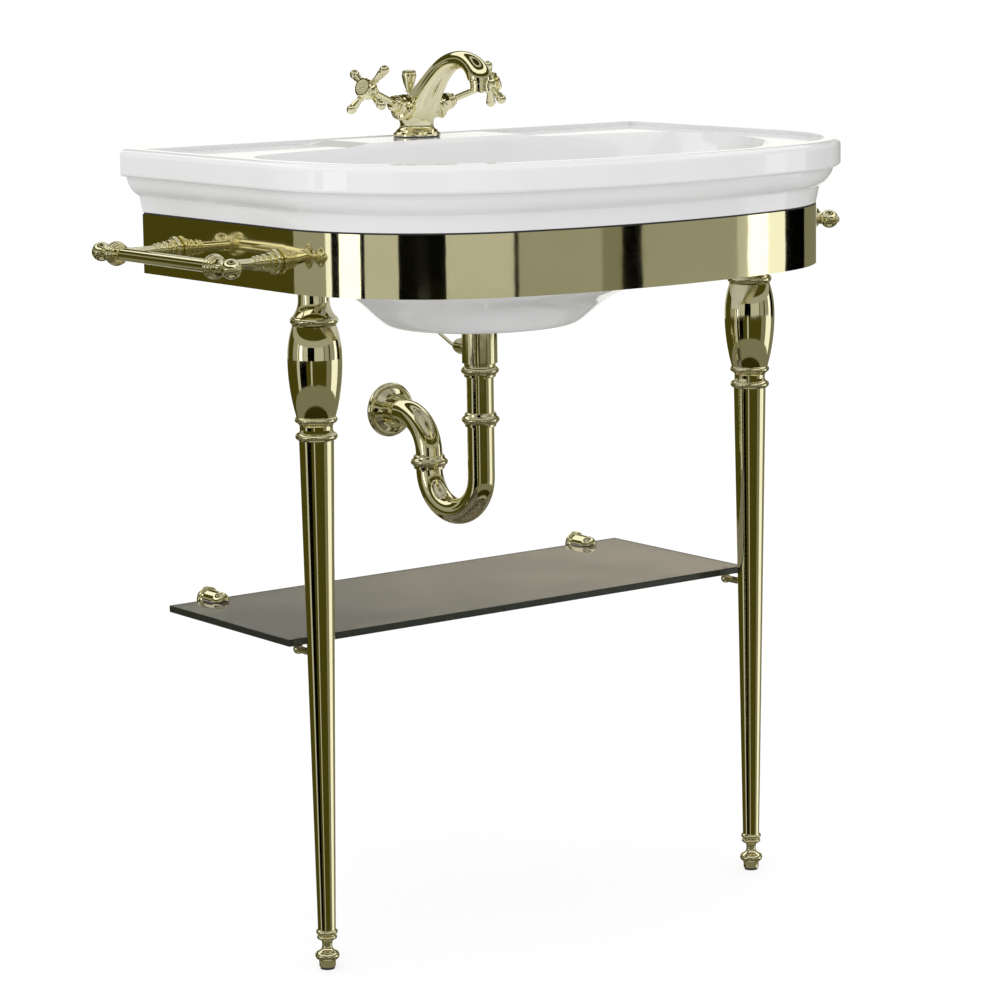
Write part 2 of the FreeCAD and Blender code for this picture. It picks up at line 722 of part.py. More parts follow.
def spout():
    """A swan neck of round sections, thick at the root, slim at the crown and
    full again over the aerator."""
    tip_out = spout_tip_out
    tip = ledge_top + spout_tip_height
    reach = tip_out - tap_out
    stations = [  # share of the reach, height above the tip, radius
        (0.06, -38, 20.5), (0.13, -27, 19.5), (0.24, -11, 16.0), (0.38, 5.5, 13.8),
        (0.53, 17.5, 11.8), (0.70, 22.5, 10.6), (0.87, 18.5, 12.0), (0.97, 9, 13.8), (1.0, 0, 13.6),
    ]
    points = [(tap_out + share * reach, tip + rise) for share, rise, radius in stations]
    rings = []
    for i, (out, z) in enumerate(points):
        before = points[max(i - 1, 0)]
        after = points[min(i + 1, len(points) - 1)]
        lean = math.atan2(after[0] - before[0], after[1] - before[1])
        if i == len(points) - 1:
            lean = math.pi
        ring = Part.Wire(Part.Circle(V(0, 0, 0), UP, stations[i][2]).toShape())
        ring.Placement = FreeCAD.Placement(at(0, out, z), FreeCAD.Rotation(RIGHT, math.degrees(lean)))
        rings.append(ring)
    return Part.makeLoft(rings, True, False)


def tap_body():
    """The cast body: round foot, waist, two valve arms and the spout."""
    foot = tap_foot_radius
    z0 = tap_seal
    pillar = turned([
        (foot, z0), (foot, z0 + 2.2), (foot - 2.2, z0 + 4.4), (foot - 3.4, z0 + 4.8),
        (foot - 3.6, z0 + 6.8), (21.5, z0 + 9, 20.2, z0 + 12.5), (20.8, z0 + 18, 22.5, z0 + 23),
        (22.6, z0 + 28, 20.6, z0 + 33), (14, z0 + 39, 0.01, z0 + 41),
    ])
    body = stand(pillar, at(0, tap_out, ledge_top))
    arm = turned([(12.6, 0), (12.6, collar_station - 9), (14.0, collar_station - 6),
                  (14.4, collar_station - 5), (16.2, collar_station - 2.5, 15.2, collar_station)])
    body = body.fuse([on_valve(arm, -1), on_valve(arm, 1), spout()])
    well = turned([(spindle_radius + 1.2, collar_station - 16), (spindle_radius + 1.2, collar_station + 1)])
    aerator_seat = at(0, spout_tip_out, ledge_top + spout_tip_height - 1)
    cuts = [on_valve(well, -1), on_valve(well, 1),
            rod(aerator_radius - 2.6, aerator_seat, UP, 9),
            rod(lift_rod_radius + running, at(0, lift_out, ledge_top - 1), UP, lift_knob_height),
            rod(tap_stud_radius, at(0, tap_out + tap_stud_front, ledge_top), UP, tap_stud_depth)]
    for side in (-1, 1):
        cuts.append(rod(inlet_neck_radius, at(side * inlet_half_spacing, tap_out - inlet_back, ledge_top), UP,
                        inlet_depth))
    return merged(body.cut(cuts))


def tap_base_seal():
    ring = tube(tap_foot_radius - 1.5, tap_hole_radius + 2, at(0, tap_out, ledge_top), UP, tap_seal)
    return ring


def aerator():
    """The ribbed collar screwed to the spout's end, with its flow straightener's bore."""
    r = aerator_radius
    h = aerator_height
    shell = turned([(r - 1.2, 0), (r, 1.2), (r, 3.4), (r - 0.7, 4.0), (r - 0.7, h - 4), (r, h - 3.4),
                    (r, h - 0.6), (r - 0.6, h)], r - 2.6)
    return stand(shell, at(0, spout_tip_out, ledge_top + spout_tip_height - h))


def aerator_insert():
    """The threaded screen holder inside the collar, up into the spout."""
    r = aerator_radius - 2.6
    h = aerator_height
    core = turned([(r, 1.5), (r, h + 6)], r - 2.4)
    web = turned([(r - 2.4, 3.5), (r - 2.4, 5.5)])
    holes = [rod(0.9, V(3.6 * math.cos(math.radians(60 * i)), 3.6 * math.sin(math.radians(60 * i)), 0), UP, 10)
             for i in range(6)]
    insert = core.fuse(web.cut(holes))
    return stand(insert, at(0, spout_tip_out, ledge_top + spout_tip_height - h))


def bonnet(side):
    """The hexagon nut and packing gland that close a valve arm."""
    s = collar_station
    gland = turned([
        (14.2, s), (14.2, s + 2), (11.6, s + 3), (11.6, s + 4), (8.6, s + 11.5), (8.6, s + 12.5),
        (9.8, s + 14.4, 8.4, s + 16.2), (7.6, s + 17), (7.6, s + bonnet_length - 1), (6.8, s + bonnet_length),
    ])
    gland = gland.fuse(hexagon(20.5, s + 3.5, s + 11))
    bore = rod(spindle_radius + running, V(0, 0, s - 1), UP, bonnet_length + 2)
    return on_valve(merged(gland.cut(bore)), side)


def spindle(side):
    s = collar_station
    stem = turned([(spindle_radius, s - 14), (spindle_radius, hub_station + 2)])
    return on_valve(stem, side)


def cross_handle(side):
    """A hub with four ball-ended spokes, bored for its spindle and index disc."""
    s = handle_station
    r = hub_radius
    hub = turned([
        (6.2, hub_station), (6.2, hub_station + 1.6), (7.4, hub_station + 3, 6.0, hub_station + 4.6),
        (6.8, s - 7.5), (r + 0.6, s, 8.4, s + 6.5), (9.2, s + 7.2),
        (r, s + 8.2), (r, disc_station), (r - 1.2, disc_station + 1.4), (index_radius, disc_station + 1.4),
    ])
    spoke = turned([(3.4, r / 2), (3.4, r + 1), (4.4, r + 2.4, 3.4, r + 3.8), (5.2, spoke_reach - 6),
                    (4.4, spoke_reach - 5), (spoke_ball_radius, spoke_reach + 0.5,
                                             0.01, spoke_reach + spoke_ball_radius)])
    spokes = [stand(spoke, V(0, 0, s), V(math.cos(math.radians(90 * i)), math.sin(math.radians(90 * i)), 0))
              for i in range(4)]
    handle = hub.fuse(spokes)
    handle = handle.cut([rod(spindle_radius, V(0, 0, hub_station - 1), UP, 3),
                         rod(index_radius, V(0, 0, disc_station - 1), UP, 5)])
    return on_valve(merged(handle), side, side * handle_phase)


def index_disc(side):
    """A plain enamelled disc with a raised rim, pressed into the hub."""
    d = disc_station - 1
    disc = turned([(index_radius, d), (index_radius, d + 2.2), (index_radius - 1.4, d + 2.2),
                   (index_radius - 1.8, d + 1.6), (2.4, d + 1.6), (1.4, d + 2.3, 0.01, d + 2.5)])
    return on_valve(disc, side)


def tap_stud():
    """The stud that pulls the tap down on the deck."""
    bottom = deck_underside - 34
    return rod(tap_stud_radius, at(0, tap_out + tap_stud_front, bottom), UP,
               ledge_top + tap_stud_depth - bottom)


def tap_washer():
    """The horseshoe washer under the deck, open at the back for the lift rod."""
    z = deck_underside - tap_washer_thickness
    ring = rod(24, at(0, tap_out, z), UP, tap_washer_thickness)
    hole = rod(tap_stud_radius, at(0, tap_out + tap_stud_front, z - 1), UP, tap_washer_thickness + 2)
    front = tap_out - inlet_back + inlet_radius + 1
    gap = block(-14.5, 14.5, tap_out - 30, front, z - 1, deck_underside + 1)
    return ring.cut([hole, gap])


def tap_nut():
    z = deck_underside - tap_washer_thickness
    nut = hexagon(13, 0, 8).cut(rod(tap_stud_radius, V(0, 0, -1), UP, 10))
    return stand(nut, at(0, tap_out + tap_stud_front, z - 8))


def inlet_tail(side):
    """A copper tail from the tap's body, with a full-bore end for a supply hose."""
    top = ledge_top + inlet_depth
    x = side * inlet_half_spacing
    out = tap_out - inlet_back
    neck = rod(inlet_neck_radius, at(x, out, top - inlet_length), UP, inlet_length)
    return merged(neck.fuse(rod(inlet_radius, at(x, out, top - inlet_length), UP, inlet_end)))


def lift_rod():
    bottom = clip_height - 4
    return rod(lift_rod_radius, at(0, lift_out, bottom), UP, ledge_top + lift_knob_height - bottom)


def lift_knob():
    """The flared knob over the rod's end."""
    z = ledge_top + lift_knob_height
    knob = turned([
        (3.8, -8), (4.8, -6.4), (3.8, -5), (5.6, -1, 7.6, 6), (8.8, 11), (8.8, 13.2), (8.0, 14),
        (8.6, 15.4), (8.2, 17), (6.0, 17.8, 0.01, 18.4),
    ]).cut(rod(lift_rod_radius, V(0, 0, -9), UP, 9))
    return stand(knob, at(0, lift_out, z))


# ---- pop-up waste -----------------------------------------------------------------
def lever_line():
    """Where the lever's ball, elbow and outer arm lie at rest."""
    ball = at(0, pivot_out, pivot_height)
    inner_end = at(0, drain_out, pivot_height + plug_lift / 2)
    along = (ball - inner_end).normalize()
    elbow = ball + along * lever_elbow
    lean = math.atan2(along.z, along.y) + math.radians(lever_crank)
    return ball, inner_end, along, elbow, lean


def strap():
    """The flat strap that carries the lift rod's pull down to the lever."""
    out = lift_out - lift_rod_radius
    elbow, lean = lever_line()[3:]
    run = wall_y - elbow.y - out
    middle = elbow.z + run * math.tan(lean)
    bar = block(-strap_half_width, strap_half_width, out - strap_thickness, out,
                middle - strap_end, clip_height + clip_depth + 3)
    half = lever_radius + 1.2
    slot = block(-half, half, out - strap_thickness - 1, out + 1, middle - strap_slot_half,
                 middle + strap_slot_half)
    return bar.cut(slot)


def strap_clip():
    """The little clamp that joins the strap to the rod."""
    out = lift_out
    back = lift_rod_radius + strap_thickness
    half = strap_half_width + clip_wall
    clip = block(-half, half, out - back - clip_wall, out + lift_rod_radius + clip_wall,
                 clip_height, clip_height + clip_depth)
    passing = clip_depth + 2
    rod_way = rod(lift_rod_radius, at(0, out, clip_height - 1), UP, passing)
    throat = block(-lift_rod_radius / 2, lift_rod_radius / 2, out - back, out,
                   clip_height - 1, clip_height - 1 + passing)
    strap_way = block(-strap_half_width, strap_half_width, out - back, out - lift_rod_radius,
                      clip_height - 1, clip_height - 1 + passing)
    return clip.cut(merged(rod_way.fuse([throat, strap_way])))


def drain_flange():
    """The polished flange in the bowl, with its threaded neck."""
    z = bowl_floor + waste_seal
    r = flange_radius
    neck = waste_radius - 2.0
    flange = turned([(neck, neck_bottom), (neck, z), (r, z), (r, z + 0.8),
                     (r - 3, z + flange_plate, waste_bore + 1.5, z + flange_plate - 0.4),
                     (waste_bore, z + flange_plate - 1.6)], waste_bore)
    return stand(flange, at(0, drain_out, 0))


def drain_seal():
    return tube(flange_radius - 1, drain_hole_radius, at(0, drain_out, bowl_floor), UP, waste_seal)


def waste_top():
    return bowl_underside + nut_recess + 6


def waste_body():
    """The polished tail of the waste, with a boss for the pivot and a socket below."""
    top = waste_top()
    bottom = ring_top - 5
    shell = turned([(socket_radius, bottom), (socket_radius, ring_top + 7), (waste_radius, ring_top + 8),
                    (waste_radius, top)])
    shell = stand(shell, at(0, drain_out, 0))
    boss = rod(pivot_boss_radius, at(0, drain_out, pivot_height), TO_WALL, pivot_arm - 3)
    shell = shell.fuse(boss)
    cuts = [
        rod(waste_radius - 2.0, at(0, drain_out, neck_bottom), UP, top - neck_bottom + 1),
        rod(waste_bore, at(0, drain_out, bottom + tube_socket), UP, neck_bottom),
        rod(tube_radius, at(0, drain_out, bottom - 1), UP, tube_socket + 1),
        rod(pivot_ball_radius + running, at(0, drain_out, pivot_height), TO_WALL, pivot_arm),
    ]
    return merged(shell.cut(cuts))


def waste_gasket():
    z = bowl_underside + nut_recess
    return tube(nut_recess_radius - 5, waste_radius, at(0, drain_out, z - gasket_thickness), UP,
                gasket_thickness)


def waste_locknut():
    z = bowl_underside + nut_recess
    nut = hexagon(58, 0, locknut_height).cut(rod(waste_radius, V(0, 0, -1), UP, locknut_height + 2))
    return stand(nut, at(0, drain_out, z - gasket_thickness - locknut_height))


def pivot_nut():
    """The domed nut that keeps the pivot ball in its boss."""
    r = 9.5
    ball = 13.0
    cavity = ball + pivot_ball_radius + running
    nut = turned([(r - 0.8, 0), (r, 1), (r, ball + 1), (r - 0.8, ball + 2), (r - 1.0, ball + 3.5),
                  (r - 1.9, cavity + 1.3, 5.0, cavity + 3.5)])
    nut = nut.cut([rod(pivot_boss_radius, V(0, 0, -1), UP, ball - 2),
                   rod(pivot_ball_radius + running, V(0, 0, ball - 5), UP, cavity - ball + 5),
                   rod(lever_radius + 2.4, V(0, 0, ball), UP, cavity)])
    return stand(nut, at(0, pivot_out + ball, pivot_height), TO_WALL)


def lever():
    """The ball rod: a straight inner arm, and an outer arm cranked up to the strap."""
    ball, inner_end, along, elbow, lean = lever_line()
    outward = V(0, math.cos(lean), math.sin(lean))
    length = (wall_y - elbow.y - lift_out + lever_overrun) / math.cos(lean)
    tip = inner_end - along * 3.0
    arm = rod(lever_radius, tip, along, (elbow - tip).Length)
    outer = rod(lever_radius, elbow, outward, length)
    return arm.fuse([Part.makeSphere(pivot_ball_radius, ball), Part.makeSphere(lever_radius, elbow), outer])


def plug():
    """The pop-up plug at its open height: cap, guide and an eye for the lever."""
    seat = bowl_floor + waste_seal + flange_plate + loose + plug_lift
    stem_bottom = pivot_height + plug_lift / 2 - 9
    cap = turned([
        (4, stem_bottom), (4, seat - 12), (13, seat - 9), (13, seat - 7), (11, seat - 7),
        (11, seat - 4), (13, seat - 4), (13, seat), (waste_bore + 3, seat), (waste_bore + 3, seat + 1.6),
        (12, seat + 4.6, 0.01, seat + 5.6),
    ])
    cap = stand(cap, at(0, drain_out, 0))
    eye = rod(lever_radius + 1.0, at(0, drain_out + 10, pivot_height + plug_lift / 2), TO_WALL, 20)
    return cap.cut(eye)


def plug_ring():
    seat = bowl_floor + waste_seal + flange_plate + loose + plug_lift
    return stand(turned([(14.6, seat - 7), (15.6, seat - 5.5, 14.6, seat - 4)], 11), at(0, drain_out, 0))


# ---- trap -----------------------------------------------------------------------
def slip_nut(z, flip=False):
    """The beaded nut of a slip joint.  Its socket comes from below unless flipped."""
    r = ring_radius
    nut = turned([
        (socket_radius + 1.0, -5), (socket_radius + 1.4, -4), (r, 0, socket_radius + 1.4, 4),
        (socket_radius + 0.6, 4.8), (socket_radius + 0.4, 7), (socket_radius - 0.6, 8),
    ], tube_radius)
    nut = nut.cut(rod(socket_radius, V(0, 0, -6), UP, 11.5))
    return stand(nut, V(0, 0, z)) if not flip else stand(nut, V(0, 0, z), DOWN)


def slip_washer(z, flip=False):
    ring = tube(socket_radius, tube_radius, V(0, 0, 4), UP, 1.5)
    return stand(ring, V(0, 0, z)) if not flip else stand(ring, V(0, 0, z), DOWN)


def on_tail(shape):
    """Move a shape made about the Z axis to the tail pipe."""
    return stand_at(shape, at(0, drain_out, 0))


def on_outlet_leg(shape):
    return stand_at(shape, at(trap_end_x, trap_end_out, 0))


def stand_at(shape, place):
    copy = shape.copy()
    copy.translate(place)
    return copy


def socket(z):
    """The belled end that a tube slides into."""
    return tube(socket_radius, tube_radius, V(0, 0, z - 6), UP, 10)


def tail_tube():
    bottom = ring_middle - 6
    top = ring_top - 5 + tube_socket
    return on_tail(tube(tube_radius, tube_bore, V(0, 0, bottom), UP, top - bottom))


def bent_pipe(sweep, centre, axis, start):
    """A bent stretch of pipe, as the turn of a ring-shaped face about an axis."""
    ring = Part.Face([Part.Wire(Part.Circle(start, UP, tube_radius).toShape()),
                      Part.Wire(Part.Circle(start, UP, tube_bore).toShape())])
    return ring.revolve(centre, axis, sweep)


def u_bend():
    """The water seal: down from the tail pipe, round and up again."""
    straight_top = ring_middle - 6
    leg = tube(tube_radius, tube_bore, V(0, 0, bend_centre), UP, straight_top - bend_centre)
    bell = socket(ring_middle)
    shoulder = tube(socket_radius, tube_bore, V(0, 0, straight_top - 2), UP, 2)
    bend = bent_pipe(180, V(0, trap_radius, bend_centre), RIGHT, V(0, 0, bend_centre))
    rise = tube(socket_radius, tube_bore, V(0, 2 * trap_radius, bend_centre), UP, 2)
    far_bell = tube(socket_radius, tube_radius, V(0, 2 * trap_radius, bend_centre + 2), UP,
                    ring_low + 4 - bend_centre - 2)
    shape = merged(leg.fuse([bell, shoulder, bend, rise, far_bell]))
    shape.rotate(V(0, 0, 0), UP, trap_swing)
    return on_tail(shape)


def outlet_bend():
    """The pipe from the trap's outlet into the wall."""
    start = bend_centre + 2
    turn_z = outlet_height - outlet_radius
    leg = tube(tube_radius, tube_bore, V(0, 0, start), UP, turn_z - start)
    bend = bent_pipe(-90, V(0, outlet_radius, turn_z), RIGHT, V(0, 0, turn_z))
    run = trap_end_out - outlet_radius + outlet_reach
    wall_run = tube(tube_radius, tube_bore, V(0, outlet_radius, outlet_height), TO_WALL, run)
    mark_at = V(0, trap_end_out - mark_width, outlet_height)
    mark = tube(tube_radius + 1, tube_radius - mark_depth, mark_at, TO_WALL, mark_width)
    return on_outlet_leg(merged(leg.fuse([bend, wall_run])).cut(mark))


def escutcheon():
    """The domed plate that covers the hole in the wall."""
    r = escutcheon_radius
    d = escutcheon_depth
    plate = turned([(r - 1, 0), (r, 1.5), (r - 0.6, 5.5, r - 5, 7.4), (r - 6.2, 7.2), (24.5, 9.5, 21.5, d - 2),
                    (20.4, d)], tube_radius + loose / 2)
    inside = turned([(r - 4, -1), (r - 6, 5), (tube_radius + loose / 2, d - 3)])
    plate = plate.cut(inside.cut(rod(tube_radius + loose / 2, V(0, 0, -2), UP, 30)))
    return stand(plate, at(trap_end_x, 0, outlet_height), TO_USER)


# ---- wall bolts -----------------------------------------------------------------
def wall_bolt(kind):
    """A hanger bolt, thinner where it passes the basin, with its washer and nut."""
    x = bolt_half_spacing
    z = rim_height - bolt_drop
    if kind == "stud":
        front = china_wall + bolt_front
        neck = rod(bolt_neck_radius, at(x, front, z), TO_WALL, front + bolt_shoulder)
        return neck.fuse(rod(bolt_radius, at(x, -bolt_shoulder, z), TO_WALL, wall_reach - bolt_shoulder))
    washer_out = china_wall + bolt_washer
    if kind == "washer":
        return tube(bolt_hole_radius + 3, bolt_neck_radius, at(x, washer_out, z), TO_WALL, bolt_washer)
    nut = hexagon(3.25 * bolt_neck_radius, 0, 1.6 * bolt_neck_radius)
    nut = nut.cut(rod(bolt_neck_radius, V(0, 0, -1), UP, 2 + 1.6 * bolt_neck_radius))
    return stand(nut, at(x, washer_out, z), TO_USER)


# ---- write every sub-part ---------------------------------------------------------
def leg_nodes():
    nodes = {}
    for name, side in (("left", -1), ("right", 1)):
        place = at(side * leg_half_spacing, leg_out, 0)
        nodes["leg_vase_" + name] = stand_at(leg_vase_drilled(), place)
        nodes["leg_shaft_" + name] = stand_at(leg_shaft(), place)
    place = at(leg_half_spacing, leg_out, 0)
    nodes["leg_plates"] = both(leg_plate())
    nodes["leg_feet"] = both(stand_at(leg_foot(), place))
    nodes["foot_pads"] = both(stand_at(rod(pad_radius, V(0, 0, 0), UP, pad_thickness), place))
    lower = rod(leg_stud_radius, V(0, 0, vase_foot_height - leg_stud_below), UP, 2 * leg_stud_below)
    upper = rod(leg_stud_radius, V(0, 0, plate_bottom - leg_stud_below), UP,
                leg_stud_below + leg_plate_thickness + leg_stud_above)
    nodes["leg_studs"] = both(stand_at(Part.makeCompound([lower, upper]), place))
    nut = hexagon(19, plate_top, plate_top + 9).cut(rod(leg_stud_radius, V(0, 0, plate_top - 1), UP, 11))
    nodes["leg_top_nuts"] = both(stand_at(nut, place))
    return nodes


def rail_nodes():
    nodes = {"rail_" + kind: both(shape) for kind, shape in rail_pieces().items()}
    nodes["rail_screws"] = rail_screws()
    return nodes


def tap_nodes():
    nodes = {"tap_body": tap_body(), "tap_base_seal": tap_base_seal(), "aerator_collar": aerator(),
             "aerator_insert": aerator_insert(), "tap_stud": tap_stud(),
             "tap_fixing": Part.makeCompound([tap_washer(), tap_nut()]),
             "lift_rod": lift_rod(), "lift_knob": lift_knob(),
             "inlet_tails": Part.makeCompound([inlet_tail(-1), inlet_tail(1)])}
    for name, side in (("hot", -1), ("cold", 1)):
        nodes[name + "_bonnet"] = bonnet(side)
        nodes[name + "_spindle"] = spindle(side)
        nodes[name + "_handle"] = cross_handle(side)
        nodes[name + "_index"] = index_disc(side)
    return nodes


def waste_nodes():
    return {"drain_flange": drain_flange(), "waste_body": waste_body(),
            "waste_seals": Part.makeCompound([drain_seal(), waste_gasket()]),
            "waste_locknut": waste_locknut(), "pivot_nut": pivot_nut(),
            "pivot_lever": lever(), "lift_strap": strap(), "strap_clip": strap_clip(),
            "waste_plug": plug(), "plug_ring": plug_ring()}


def trap_nodes():
    nuts = {"slip_nut_top": on_tail(slip_nut(ring_top - 1, True)),
            "slip_nut_middle": on_tail(slip_nut(ring_middle)),
            "slip_nut_low": on_outlet_leg(slip_nut(ring_low))}
    washers = Part.makeCompound([on_tail(slip_washer(ring_top - 1, True)),
                                 on_tail(slip_washer(ring_middle)),
                                 on_outlet_leg(slip_washer(ring_low))])
    nuts.update({"trap_washers": washers, "tail_tube": tail_tube(), "u_bend": u_bend(),
                 "outlet_bend": outlet_bend(), "escutcheon": escutcheon()})
    return nuts


def main():
    os.makedirs("parts", exist_ok=True)
    nodes = {"basin": basin(), "apron": apron(), "apron_ledge": apron_ledge(),
             "basin_gasket": basin_gasket(),
             "shelf_glass": shelf_glass(), "shelf_pins": both(shelf_pin()),
             "shelf_cushions": both(Part.makeCompound([shelf_pin_pad(), shelf_liner()])),
             "shelf_brackets": both(shelf_bracket()), "shelf_rosettes": both(shelf_rosette()),
             "wall_studs": both(wall_bolt("stud")),
             "wall_nuts": both(Part.makeCompound([wall_bolt("washer"), wall_bolt("nut")]))}
    for group in (leg_nodes(), rail_nodes(), tap_nodes(), waste_nodes(), trap_nodes()):
        nodes.update(group)
    for name, shape in nodes.items():
        save(name, shape)
        print(name, "solids", len(shape.Solids), "valid", shape.isValid(), "volume", round(shape.Volume))
    print(len(nodes), "nodes")


main()
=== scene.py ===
# %% [markdown]
# # A console sink in polished brass and glazed fireclay
# The construction comes in as a finished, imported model. This lesson gives it its looks:
# first a camera and a photographer's studio, then one material for each real finish,
# and last the glass shelf, which needs a second finish on its ground edges.
# Lengths are in metres, +Z is up, and the wall is on the +Y side.

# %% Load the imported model
import json
import math

import bmesh
import bpy
from mathutils import Euler, Matrix, Vector


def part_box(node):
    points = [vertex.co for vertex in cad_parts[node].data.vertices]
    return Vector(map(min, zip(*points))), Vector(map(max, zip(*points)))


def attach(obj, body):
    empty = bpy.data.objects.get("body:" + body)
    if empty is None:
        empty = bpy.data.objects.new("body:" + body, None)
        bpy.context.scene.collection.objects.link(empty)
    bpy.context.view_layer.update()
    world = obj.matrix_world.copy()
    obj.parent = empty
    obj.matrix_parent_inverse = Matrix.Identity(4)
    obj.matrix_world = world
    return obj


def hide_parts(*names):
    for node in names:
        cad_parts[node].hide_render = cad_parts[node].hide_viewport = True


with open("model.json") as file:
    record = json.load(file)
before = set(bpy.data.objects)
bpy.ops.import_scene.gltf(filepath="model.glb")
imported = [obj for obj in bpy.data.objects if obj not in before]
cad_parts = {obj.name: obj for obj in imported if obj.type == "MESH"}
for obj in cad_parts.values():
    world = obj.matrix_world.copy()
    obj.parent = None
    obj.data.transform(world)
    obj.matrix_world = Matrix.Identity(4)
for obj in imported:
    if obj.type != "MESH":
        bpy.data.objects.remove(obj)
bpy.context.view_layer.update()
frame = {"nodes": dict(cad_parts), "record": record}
scene = bpy.context.scene
MM = 0.001
print("loaded", len(frame["nodes"]), "pieces")

# %% [markdown]
# The basin's back edge lies on the wall, so the back of its box gives the wall's place,
# and the camera and the key light are placed from there.

# %% Find the wall
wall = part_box("basin")[1].y
print("wall at", round(wall, 4))

# %% [markdown]
# The photograph was taken from the left with a long lens, a little above the rim.
# A long lens keeps the two legs almost parallel. The small sideways roll is in the
# photograph too. The lens is shifted slightly down, as on a view camera.

# %% Set up the camera
camera_x = -2.318
camera_out = 3.303          # distance in front of the wall
camera_height = 1.1425
camera_turn = 36.87         # degrees to the right of straight at the wall
camera_tilt = -8.0
camera_roll = 0.77
focal_length = 120.88       # on film 36 mm wide
lens_shift = -0.1

camera_data = bpy.data.cameras.new("camera")
camera_data.sensor_width = 36.0
camera_data.lens = focal_length
camera_data.shift_y = lens_shift
camera_data.clip_end = 60.0
camera = bpy.data.objects.new("camera", camera_data)
camera.location = (camera_x, wall - camera_out, camera_height)
aim = Euler((math.radians(90 + camera_tilt), 0, math.radians(-camera_turn))).to_matrix()
roll = Matrix.Rotation(math.radians(-camera_roll), 3, "Z")
camera.rotation_euler = (aim @ roll).to_euler()
scene.collection.objects.link(camera)
scene.camera = camera

# %% [markdown]
# Colours are written as the sRGB hex values that a paint chart gives. Shaders work in
# linear light, so one function converts them. A second small function adds a node,
# sets what is named and links what is wired, and every material below uses it.

# %% Two helpers for colours and nodes
def linear(code):
    """A hex colour such as F3EDBB in linear light, with full alpha."""
    parts = [int(code[i:i + 2], 16) / 255 for i in (0, 2, 4)]
    return [p / 12.92 if p <= 0.04045 else ((p + 0.055) / 1.055) ** 2.4 for p in parts] + [1.0]


def add(tree, kind, links=(), values=(), **settings):
    """A new node with its settings, its linked inputs and its inputs' own values."""
    node = tree.nodes.new(kind)
    for name, setting in settings.items():
        setattr(node, name, setting)
    for name, value in dict(values).items():
        node.inputs[name].default_value = value
    for name, output in dict(links).items():
        tree.links.new(output, node.inputs[name])
    return node


# %% [markdown]
# A polished metal has no look of its own: it shows the room. Photographers therefore
# stand black flags and white cards round it, and their reflections are the stripes in
# the brass band. Seven kinds are enough, from a black flag to a bare lamp. Each card is
# painted on the sky from its own compass bearing up to the next, where it can't cast
# a shadow. They stand in two rows: the apron and the tap mirror the upper row, and the
# legs the lower one.

# %% The flags and cards of the studio, and where they stand
flag, cloth, grey, silver, pale, white, lamp = 0.0, 0.06, 0.2, 0.31, 0.5, 1.05, 1.7
upper_row = [
    (0, pale), (22, white), (52, grey), (84, flag), (106, white), (114, flag), (115, lamp),
    (120, pale), (123, silver), (146, flag), (150, grey), (154, silver), (171, flag),
    (172, silver), (174, flag), (175, pale), (215, flag), (243, pale), (264, flag),
    (267, lamp), (281, flag), (286, white), (291, silver), (317, cloth),
]
lower_row = [
    (0, cloth), (22, white), (52, grey), (104, white), (138, grey), (164, cloth),
    (224, pale), (231, cloth), (250, flag), (280, pale), (294, cloth),
]
print(len(upper_row) + len(lower_row), "flags and cards")

# %% [markdown]
# The two rows fill a belt round the horizon. Above and below it the studio is dark, apart
# from a few long soft lights that hang in rings. Dark gaps between lights are what make a
# polished metal look like metal: each bead and ball then shows a few crisp lights on black.

# %% The rings above and below the belt
belt_bottom, belt_top = -20, 7.5        # degrees above the horizon
rings = [
    (-90, 0.4), (-66, 0.05), (-50, 0.3), (-44, 0.03), (-32, 0.2), (belt_bottom, flag),
    (belt_top, 0.36), (15, 0.06), (30, 1.1), (48, 0.05), (62, 0.5), (72, 0.03),
]
print(len(rings), "rings from the ground to the zenith")

# %% [markdown]
# A ray's bearing and height are worked out from its direction. A colour ramp then looks up
# what hangs there, with hard edges between its stops. Dark cloth is never quite grey: the
# studio's blacks are a little olive, which is what makes the dark stripes in brass so rich.
# The alpha of the rings' ramp is used as a mask that is 0 inside the belt.

# %% Paint the cards and rings on the sky
world = bpy.data.worlds.new("studio")
scene.world = world
world.use_nodes = True
sky = world.node_tree
sky.nodes.clear()
towards = add(sky, "ShaderNodeTexCoord").outputs["Generated"]
ray = add(sky, "ShaderNodeSeparateXYZ", {"Vector": towards}).outputs
angle = add(sky, "ShaderNodeMath", {0: ray["X"], 1: ray["Y"]}, operation="ARCTAN2").outputs[0]
turns = add(sky, "ShaderNodeMath", {0: angle}, {1: 2 * math.pi}, operation="DIVIDE").outputs[0]
bearing = add(sky, "ShaderNodeMath", {0: turns}, {1: 1.0}, operation="FLOORED_MODULO").outputs[0]
height = add(sky, "ShaderNodeMath", {0: ray["Z"]}, operation="ARCSINE").outputs[0]
climb = add(sky, "ShaderNodeMath", {0: height}, {1: 1 / math.pi, 2: 0.5}, operation="MULTIPLY_ADD").outputs[0]

painted = {}
for name, factor, stops in (
        ("upper row", bearing, [(degrees / 360, level) for degrees, level in upper_row]),
        ("lower row", bearing, [(degrees / 360, level) for degrees, level in lower_row]),
        ("rings", climb, [(degrees / 180 + 0.5, level) for degrees, level in rings])):
    ramp = add(sky, "ShaderNodeValToRGB", {"Fac": factor})
    ramp.color_ramp.interpolation = "CONSTANT"
    elements = ramp.color_ramp.elements
    elements.remove(elements[1])
    for i, (start, level) in enumerate(stops):
        element = elements[0] if i == 0 else elements.new(start)
        olive = (level, max(level - 0.007, 0.8 * level), max(level - 0.07, 0.1 * level))
        inside_belt = name == "rings" and rings[i][0] == belt_bottom
        element.color = (*olive, 0.0 if inside_belt else 1.0)
    painted[name] = ramp.outputs
print("painted the", ", the ".join(painted))

